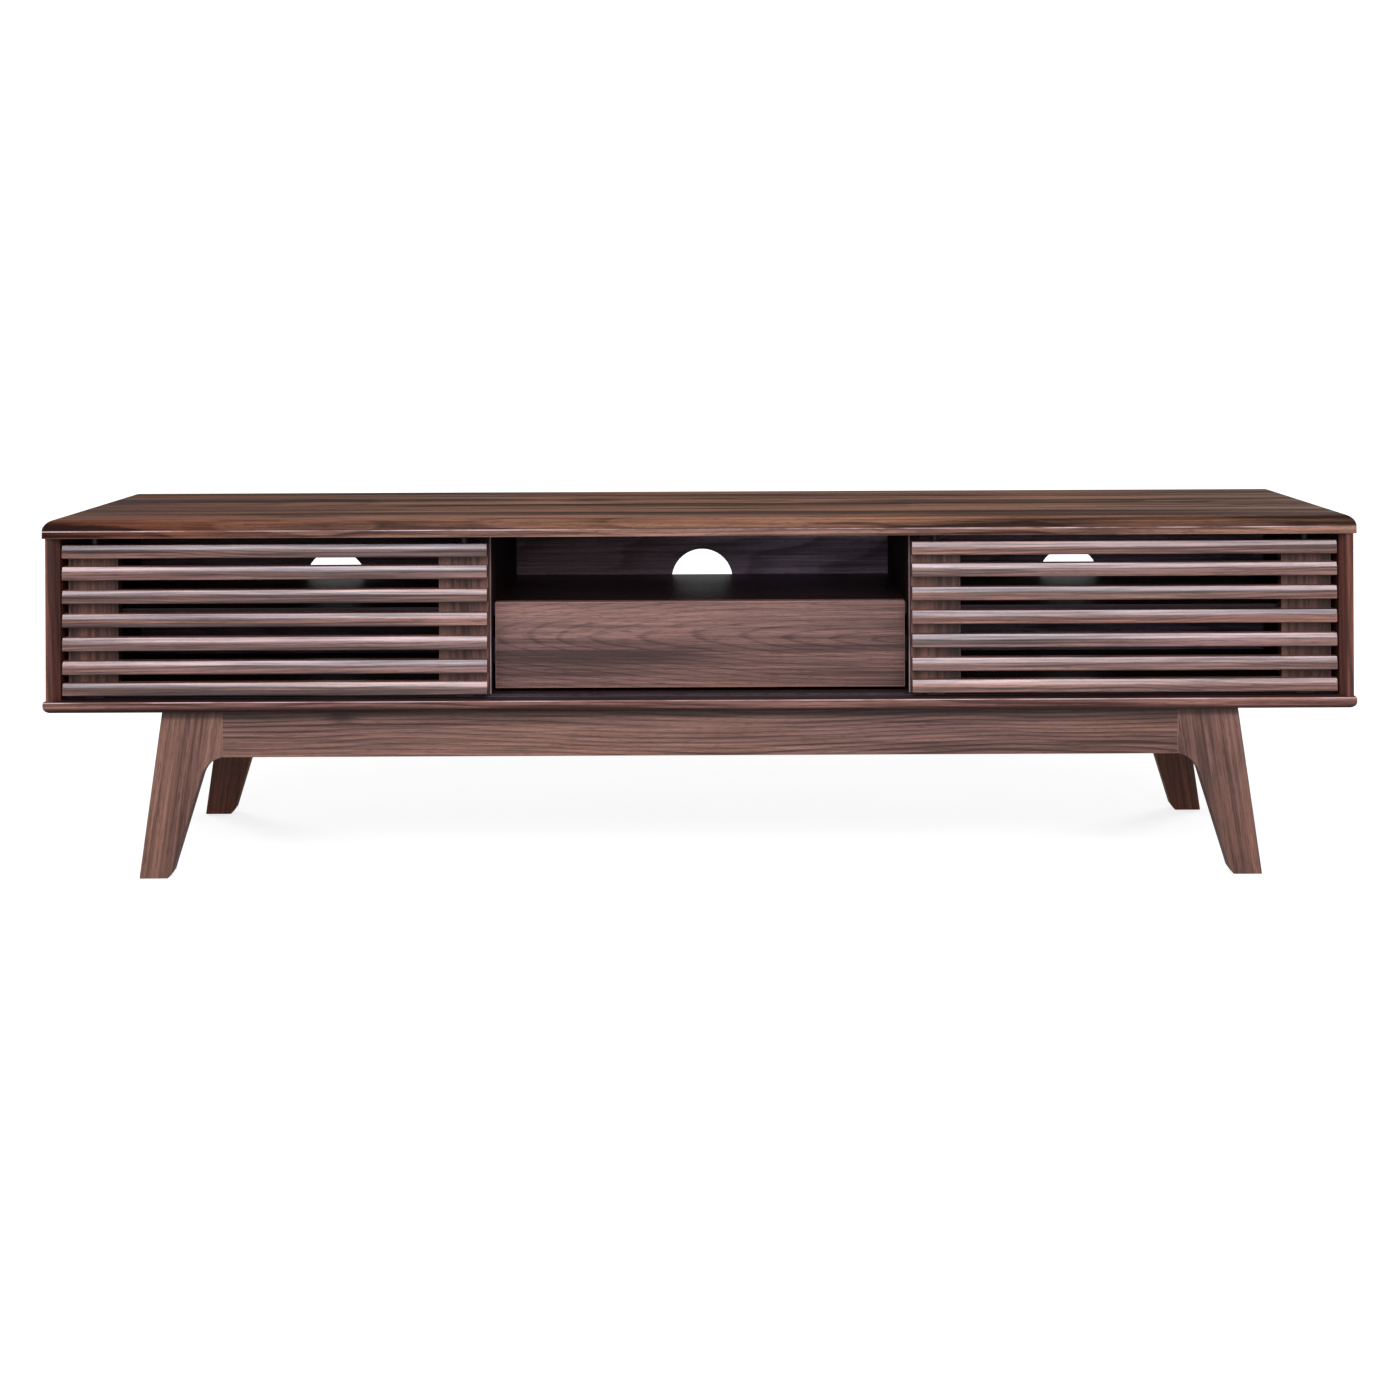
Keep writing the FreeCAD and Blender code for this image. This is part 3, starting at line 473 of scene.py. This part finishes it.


# Painted shadow: legs and rails are darker just under the bottom panel.
OVERHANG_SHADOW = (0.2225, 0.2180, (0.45, 0.42, 0.42))
LOOKS = {
    "top": dict(
        tones((0.53, 0.46, 0.375), (64, 45, 37), (110, 83, 71), (150, 115, 99)),
        grain="flat", pith=(0.05, 0.30, 0.02, 0.0), rings=130.0, stripe=34.0, stripe_depth=1.7, span=0.24,
        rough=0.60, coat=0.0, specular=0.06, knot_push=0.012, wear_and_highlight=0.3,
        fade=(-0.98, -0.25, (0.50, 0.30, 0.20)),
        knots=((-0.555, -0.160, 0.060, 0.011), (-0.62, -0.125, 0.05, 0.008), (0.36, 0.010, 0.07, 0.012)),
        # A painted highlight line along the lip's upper arris.
        highlight_line=(2, 0.4797, 0.0010, 0.9),
        # Painted light makes the lip lighter and cooler; painted shade darkens the rounding and all below it;
        # painted light brings the lip back up.
        light_and_shade_bands=(
            (0.4787, 0.4797, (1.10, 1.24, 1.46)), (0.4915, 0.4945, (0.72, 0.72, 0.72)),
            (0.4790, 0.4800, (1.39, 1.39, 1.39)),
        ),
    ),
    # The bottom panel: a painted highlight line on its front arris, painted shade on its upper face and under
    # its front rounding.
    "carcass": dict(tones((0.74, 0.66, 0.61)), grain="flat", pith=(-0.24, 0.30, 0.02, 0.0),
                    stripe=30.0, stripe_through=30.0, rough=0.50, specular=0.12, coat=0.0, wear_and_highlight=0.4,
                    highlight_line=(2, 0.2451, 0.0008, 0.9), inside=(2, 0.2459, 0.2454, (0.17, 0.14, 0.14)),
                    light_and_shade_bands=((0.2345, 0.2362, (0.40, 0.36, 0.36)),)),
    # Painted shade: the side panels' inner faces are darker.
    "side": dict(tones((0.56, 0.365, 0.275), (72, 46, 38), (106, 76, 66), (132, 98, 86)), grain="end",
                 rough=0.46, stripe=18.0, inside=(0, 0.8862, 0.8885, (0.44, 0.30, 0.22))),
    # Painted shade: dividers and shelves take near-black tones; the dividers also have a painted highlight
    # line on their front inner arris.
    "divider": dict(tones((0.06, 0.042, 0.042)), grain="end", pith=(0.02, 0.2, 0.10, 0.3), rough=0.55,
                    specular=0.10, coat=0.0, highlight_line=(0, 0.2918, 0.0011, 0.75), highlight_line_front=-0.1503),
    "shelf": dict(tones((0.105, 0.075, 0.072)), grain="flat", pith=(0.0, 0.5, 0.05, 0.0), rough=0.36,
                  specular=0.45, gleam=(0.86, 0.82, 1.0), coat=0.0),
    # Painted shade darkens the left of the back panel's front face, and painted lavender light covers that
    # face.
    "back": dict(tones((0.52, 0.46, 0.42), (66, 48, 42), (96, 74, 66), (122, 98, 88)), grain="upright",
                 pith=(0.35, 0.6, 0.05, 0.0), rough=0.55, coat=0.0, wear_and_highlight=0.2, span=0.32,
                 fade=(-0.10, 0.16, (0.42, 0.33, 0.31)), inside=(1, 0.1845, 0.186, (3.0, 4.3, 8.4))),
    "slat": dict(tones((0.40, 0.32, 0.285), (80, 55, 47), (124, 93, 82), (164, 129, 114)), grain="upright",
                 pith=(-0.30, -0.10, 0.03, 0.0), rings=210.0, stripe=60.0, span=0.21, fibre=(0.52, 1.45),
                 rough=0.40, coat=0.7, coat_streaks=(0.30, 1.0), coat_rough=0.28, coat_ior=1.78,
                 wear_and_highlight=0.3, wear_and_highlight_width=0.0014, flecks=0.5),
    "stile": dict(tones((0.35, 0.26, 0.23), (84, 58, 50), (117, 88, 78), (143, 112, 98)), grain="post",
                  pith=(0.0, 0.30, 0.03, 0.0), stripe=45.0, span=0.20, rough=0.45, flecks=0.45),
    "drawer_front": dict(tones((0.51, 0.46, 0.43)), grain="upright", pith=(0.322, -0.205, -0.10, -0.29),
                         rings=165.0, stripe=12.0, wander=0.034, ring_depth=0.12, late_from=0.62,
                         ripple=0.005, rough=0.46, wear_and_highlight=0.6, flecks=0.45),
    "frame": dict(tones((0.42, 0.37, 0.335), (84, 60, 52), (120, 92, 84), (150, 118, 106)), grain="upright",
                  pith=(-0.20, -0.15, 0.02, 0.0), rings=150.0, stripe=22.0, stripe_depth=0.8, span=0.24,
                  rough=0.48, knots=((-0.494, 0.222, 0.022, 0.010),), knot_push=0.030, ring_depth=0.20,
                  wear_and_highlight=0.5, light_and_shade_bands=(OVERHANG_SHADOW,)),
    "leg": dict(tones((0.54, 0.46, 0.41), (86, 62, 52), (119, 91, 80), (144, 113, 100)), grain="post",
                pith=(0.72, 0.1, 0.03, 0.0), rings=130.0, stripe=22.0, stripe_depth=0.7, span=0.30,
                rough=0.46, ring_depth=0.06, fibre=(0.66, 1.34), flecks=0.5, light_and_shade_bands=(OVERHANG_SHADOW,)),
    "pale": dict(
        tones((0.6, 0.6, 0.6), (176, 148, 112), (204, 178, 140), (222, 198, 162)), grain="upright",
        rings=140.0, rough=0.5, coat=0.1, wear_and_highlight=0.2,
    ),
}
# Boards of one door come from different trees: warm ones and cooler, greyer ones, from the top row down.
SLAT_BOARDS = (
    (1.06, 1.00, 0.96), (0.92, 0.92, 1.00), (0.88, 0.92, 1.04), (1.14, 1.03, 0.98),
    (1.10, 1.02, 0.96), (0.94, 0.93, 0.99), (1.08, 1.00, 0.95),
)
FRONT_LEG_BOARD = (1.0, 1.0, 1.0)
BACK_LEG_BOARD = (0.98, 0.66, 0.50)
METALS = {
    "track": {"lines": (4.0, 900.0, 900.0), "dark": linear(44, 44, 54), "light": linear(76, 76, 92),
              "rough": 0.42, "metallic": 0.85},
    "dark": {"lines": (700.0, 40.0, 700.0), "dark": linear(34, 34, 38), "light": linear(58, 58, 64),
             "rough": 0.45, "metallic": 0.8},
    "zinc": {"lines": (700.0, 700.0, 40.0), "dark": linear(150, 150, 152), "light": linear(200, 200, 204),
             "rough": 0.34, "metallic": 0.95},
}
PLASTICS = {
    "brown": {"dark": linear(52, 38, 32), "light": linear(70, 52, 44), "rough": 0.5},
    "nylon": {"dark": linear(62, 68, 80), "light": linear(84, 92, 106), "rough": 0.42},
    "pin": {"dark": linear(26, 28, 34), "light": linear(40, 43, 52), "rough": 0.5},
}
# How far a leg leans for each metre of its height.
LEG_LEAN = 0.141
# The side panels' pith: across, how far outside the cabinet's middle, taper, and height.
SIDE_PITH = (0.10, 0.70, 0.10, 0.3)
LOOK_OF_NODE = {
    "top_panel": "top", "bottom_panel": "carcass", "back_panel": "back", "drawer_front": "drawer_front",
    "front_apron": "frame", "back_apron": "frame", "centre_shelf": "shelf", "side_shelf_left": "shelf",
    "side_shelf_right": "shelf", "divider_left": "divider", "divider_right": "divider",
    "drawer_back": "pale", "drawer_bottom": "pale", "corner_blocks": "pale",
}


def finish_of(node):
    """Which builder and which look a CAD node takes, with any change for that node."""
    if node in LOOK_OF_NODE:
        return wood, LOOKS[LOOK_OF_NODE[node]]
    if node.startswith("side_panel"):
        across, outward, taper, along = SIDE_PITH
        depth = -outward if "left" in node else outward
        return wood, dict(LOOKS["side"], pith=(across, depth, taper, along))
    if node.startswith("slat"):
        return wood, dict(LOOKS["slat"], board=SLAT_BOARDS[int(node[-1]) - 1])
    if node.startswith("stile"):
        return wood, LOOKS["stile"]
    if node.startswith("leg"):
        lean = -LEG_LEAN if "left" in node else LEG_LEAN
        board = BACK_LEG_BOARD if "back" in node else FRONT_LEG_BOARD
        return wood, dict(LOOKS["leg"], lean=lean, board=board)
    if node.startswith("end_rail"):
        return wood, dict(LOOKS["frame"], grain="deep", knots=())
    if node.startswith("drawer_side"):
        return wood, dict(LOOKS["pale"], grain="deep")
    if node.endswith("track"):
        return brushed_metal, METALS["track"]
    if node == "cam_caps":
        return moulded, PLASTICS["brown"]
    if node.startswith("roller_") and "axles" not in node:
        return moulded, PLASTICS["nylon"]
    if node.startswith("guide_pins"):
        return moulded, PLASTICS["pin"]
    if node.endswith("runners") or node.startswith("guide_springs"):
        return brushed_metal, METALS["dark"]
    return brushed_metal, METALS["zinc"]


# Arris widths of the boards that are rounded, by how their names start, in metres.
ARRIS = {
    "top_panel": 0.0007, "bottom_panel": 0.0007, "drawer_front": 0.0008, "front_apron": 0.0007,
    "back_apron": 0.0007, "leg_": 0.0010, "side_panel_": 0.0006, "slat_": 0.0005,
}
WELD_GAP = 0.00002
SHARP_ANGLE = math.radians(38.0)
NORMAL_WEIGHT = 80
# Each node's seed, by its place in the sorted names.
SEED_STEP = 3.17
SEED_START = 1.0


def soften(node, width):
    """Rounds the arrises of a CAD node with modifiers, so that they catch light."""
    weld = node.modifiers.new("weld", "WELD")
    weld.merge_threshold = WELD_GAP
    bevel = node.modifiers.new("arris", "BEVEL")
    bevel.width = width
    bevel.segments = 2
    bevel.limit_method = "ANGLE"
    bevel.angle_limit = SHARP_ANGLE
    bevel.use_clamp_overlap = False
    weighted = node.modifiers.new("shade", "WEIGHTED_NORMAL")
    weighted.mode = "FACE_AREA"
    weighted.weight = NORMAL_WEIGHT


for index, name in enumerate(sorted(NODES)):
    node = NODES[name]
    low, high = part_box(name)
    build, look = finish_of(name)
    material = build("finish_" + name, index * SEED_STEP + SEED_START, look, tuple(low), tuple(high))
    if not node.data.materials:
        node.data.materials.append(material)
    for slot in node.material_slots:
        slot.material = material
    width = next((value for prefix, value in ARRIS.items() if name.startswith(prefix)), None)
    if width:
        soften(node, width)


# ---------------------------------------------------------------- springs
def make_springs(side):
    """The coils under one door's guide pins, which shorten as the pins are pressed."""
    node = "guide_springs_" + side
    coils = bpy.data.objects.new("guide_coils_" + side, NODES[node].data.copy())
    bpy.context.scene.collection.objects.link(coils)
    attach(coils, "door_" + side)
    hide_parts(node)
    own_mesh(coils)


for door_side in ("left", "right"):
    make_springs(door_side)


# ---------------------------------------------------------------- floor, light and camera
def make_floor():
    """A plain pale floor just under the feet, which turns to the backdrop's white further out."""
    half = FLOOR_HALF
    mesh = bpy.data.meshes.new("floor")
    corners = [(-half, -half, 0.0), (half, -half, 0.0), (half, half, 0.0), (-half, half, 0.0)]
    mesh.from_pydata(corners, [], [(0, 1, 2, 3)])
    floor = bpy.data.objects.new("floor", mesh)
    floor.location.z = -FLOOR_DROP
    bpy.context.scene.collection.objects.link(floor)
    g = Graph("floor_pale")
    place = g.node("ShaderNodeTexCoord").outputs["Object"]
    speck = g.noise(place, (3.0, 3.0, 3.0), 3.0)
    colour = g.ramp(speck, [(0.3, (0.40, 0.40, 0.405)), (0.7, (0.42, 0.42, 0.42))])
    g.surface(colour, g.remap(speck, 0.0, 1.0, 0.8, 0.9), None, Specular_IOR_Level=0.1)
    far = g.remap(g.vector("LENGTH", place), FLOOR_FADE[0], FLOOR_FADE[1], FLOOR_GLOW, 1.0, smooth=True)
    seen = g.node("ShaderNodeLightPath").outputs["Is Camera Ray"]
    g.shader.inputs["Emission Color"].default_value = (1.0, 1.0, 1.0, 1.0)
    g.feed(g.shader.inputs["Emission Strength"], g.math("MULTIPLY", far, seen))
    mesh.materials.append(g.material)


def make_lamp(name, place, target, size, power, colour):
    """A soft rectangular lamp aimed at a point."""
    lamp = bpy.data.lights.new(name, "AREA")
    lamp.shape = "RECTANGLE"
    lamp.size, lamp.size_y = size
    lamp.energy = power
    lamp.color = colour
    holder = bpy.data.objects.new(name, lamp)
    holder.location = place
    aim = Vector(target) - Vector(place)
    holder.rotation_euler = aim.to_track_quat("-Z", "Y").to_euler()
    bpy.context.scene.collection.objects.link(holder)


def make_world(seen, lighting):
    """A white backdrop, which lights the object more softly than it shows."""
    world = bpy.data.worlds.new("studio")
    bpy.context.scene.world = world
    world.use_nodes = True
    tree = world.node_tree
    background = tree.nodes["Background"]
    background.inputs[0].default_value = (1.0, 1.0, 1.0, 1.0)
    path = tree.nodes.new("ShaderNodeLightPath")
    level = tree.nodes.new("ShaderNodeMapRange")
    level.inputs["To Min"].default_value = lighting
    level.inputs["To Max"].default_value = seen
    tree.links.new(path.outputs["Is Camera Ray"], level.inputs["Value"])
    tree.links.new(level.outputs[0], background.inputs[1])


def make_camera():
    """A camera held level but for a slight roll, with the object framed by its shift."""
    data = bpy.data.cameras.new("camera")
    data.sensor_width = SENSOR_MM
    data.lens = LENS_MM
    data.shift_x = SHIFT_X
    data.shift_y = SHIFT_Y
    data.clip_end = CAMERA_REACH
    camera = bpy.data.objects.new("camera", data)
    front = cad_box[0][1]
    level = Matrix.Rotation(math.pi / 2, 4, "X") @ Matrix.Rotation(-CAMERA_ROLL, 4, "Z")
    camera.matrix_world = Matrix.Translation((CAMERA_X, front - CAMERA_DISTANCE, CAMERA_HEIGHT)) @ level
    bpy.context.scene.collection.objects.link(camera)
    bpy.context.scene.camera = camera


# Name, place, point aimed at, size, watts and colour.
LAMPS = (
    ("overhead", (0.0, -2.2, 2.1), (0.0, -0.15, 0.35), (4.4, 1.8), 165.0, (0.91, 0.88, 1.0)),
    ("front", (0.2, -4.4, 1.3), (0.0, -0.2, 0.35), (3.4, 1.6), 60.0, (1.0, 0.97, 0.96)),
    ("back_left", (-3.2, 2.8, 1.7), (-0.3, 0.1, 0.3), (1.6, 1.6), 60.0, (1.0, 0.98, 0.97)),
    ("back_right", (3.2, 2.8, 1.7), (0.3, 0.1, 0.3), (1.6, 1.6), 60.0, (0.97, 0.98, 1.0)),
)

make_floor()
make_world(WORLD_SEEN, WORLD_LIGHT)
for lamp_settings in LAMPS:
    make_lamp(*lamp_settings)
make_camera()
bpy.context.scene.view_settings.view_transform = "Standard"
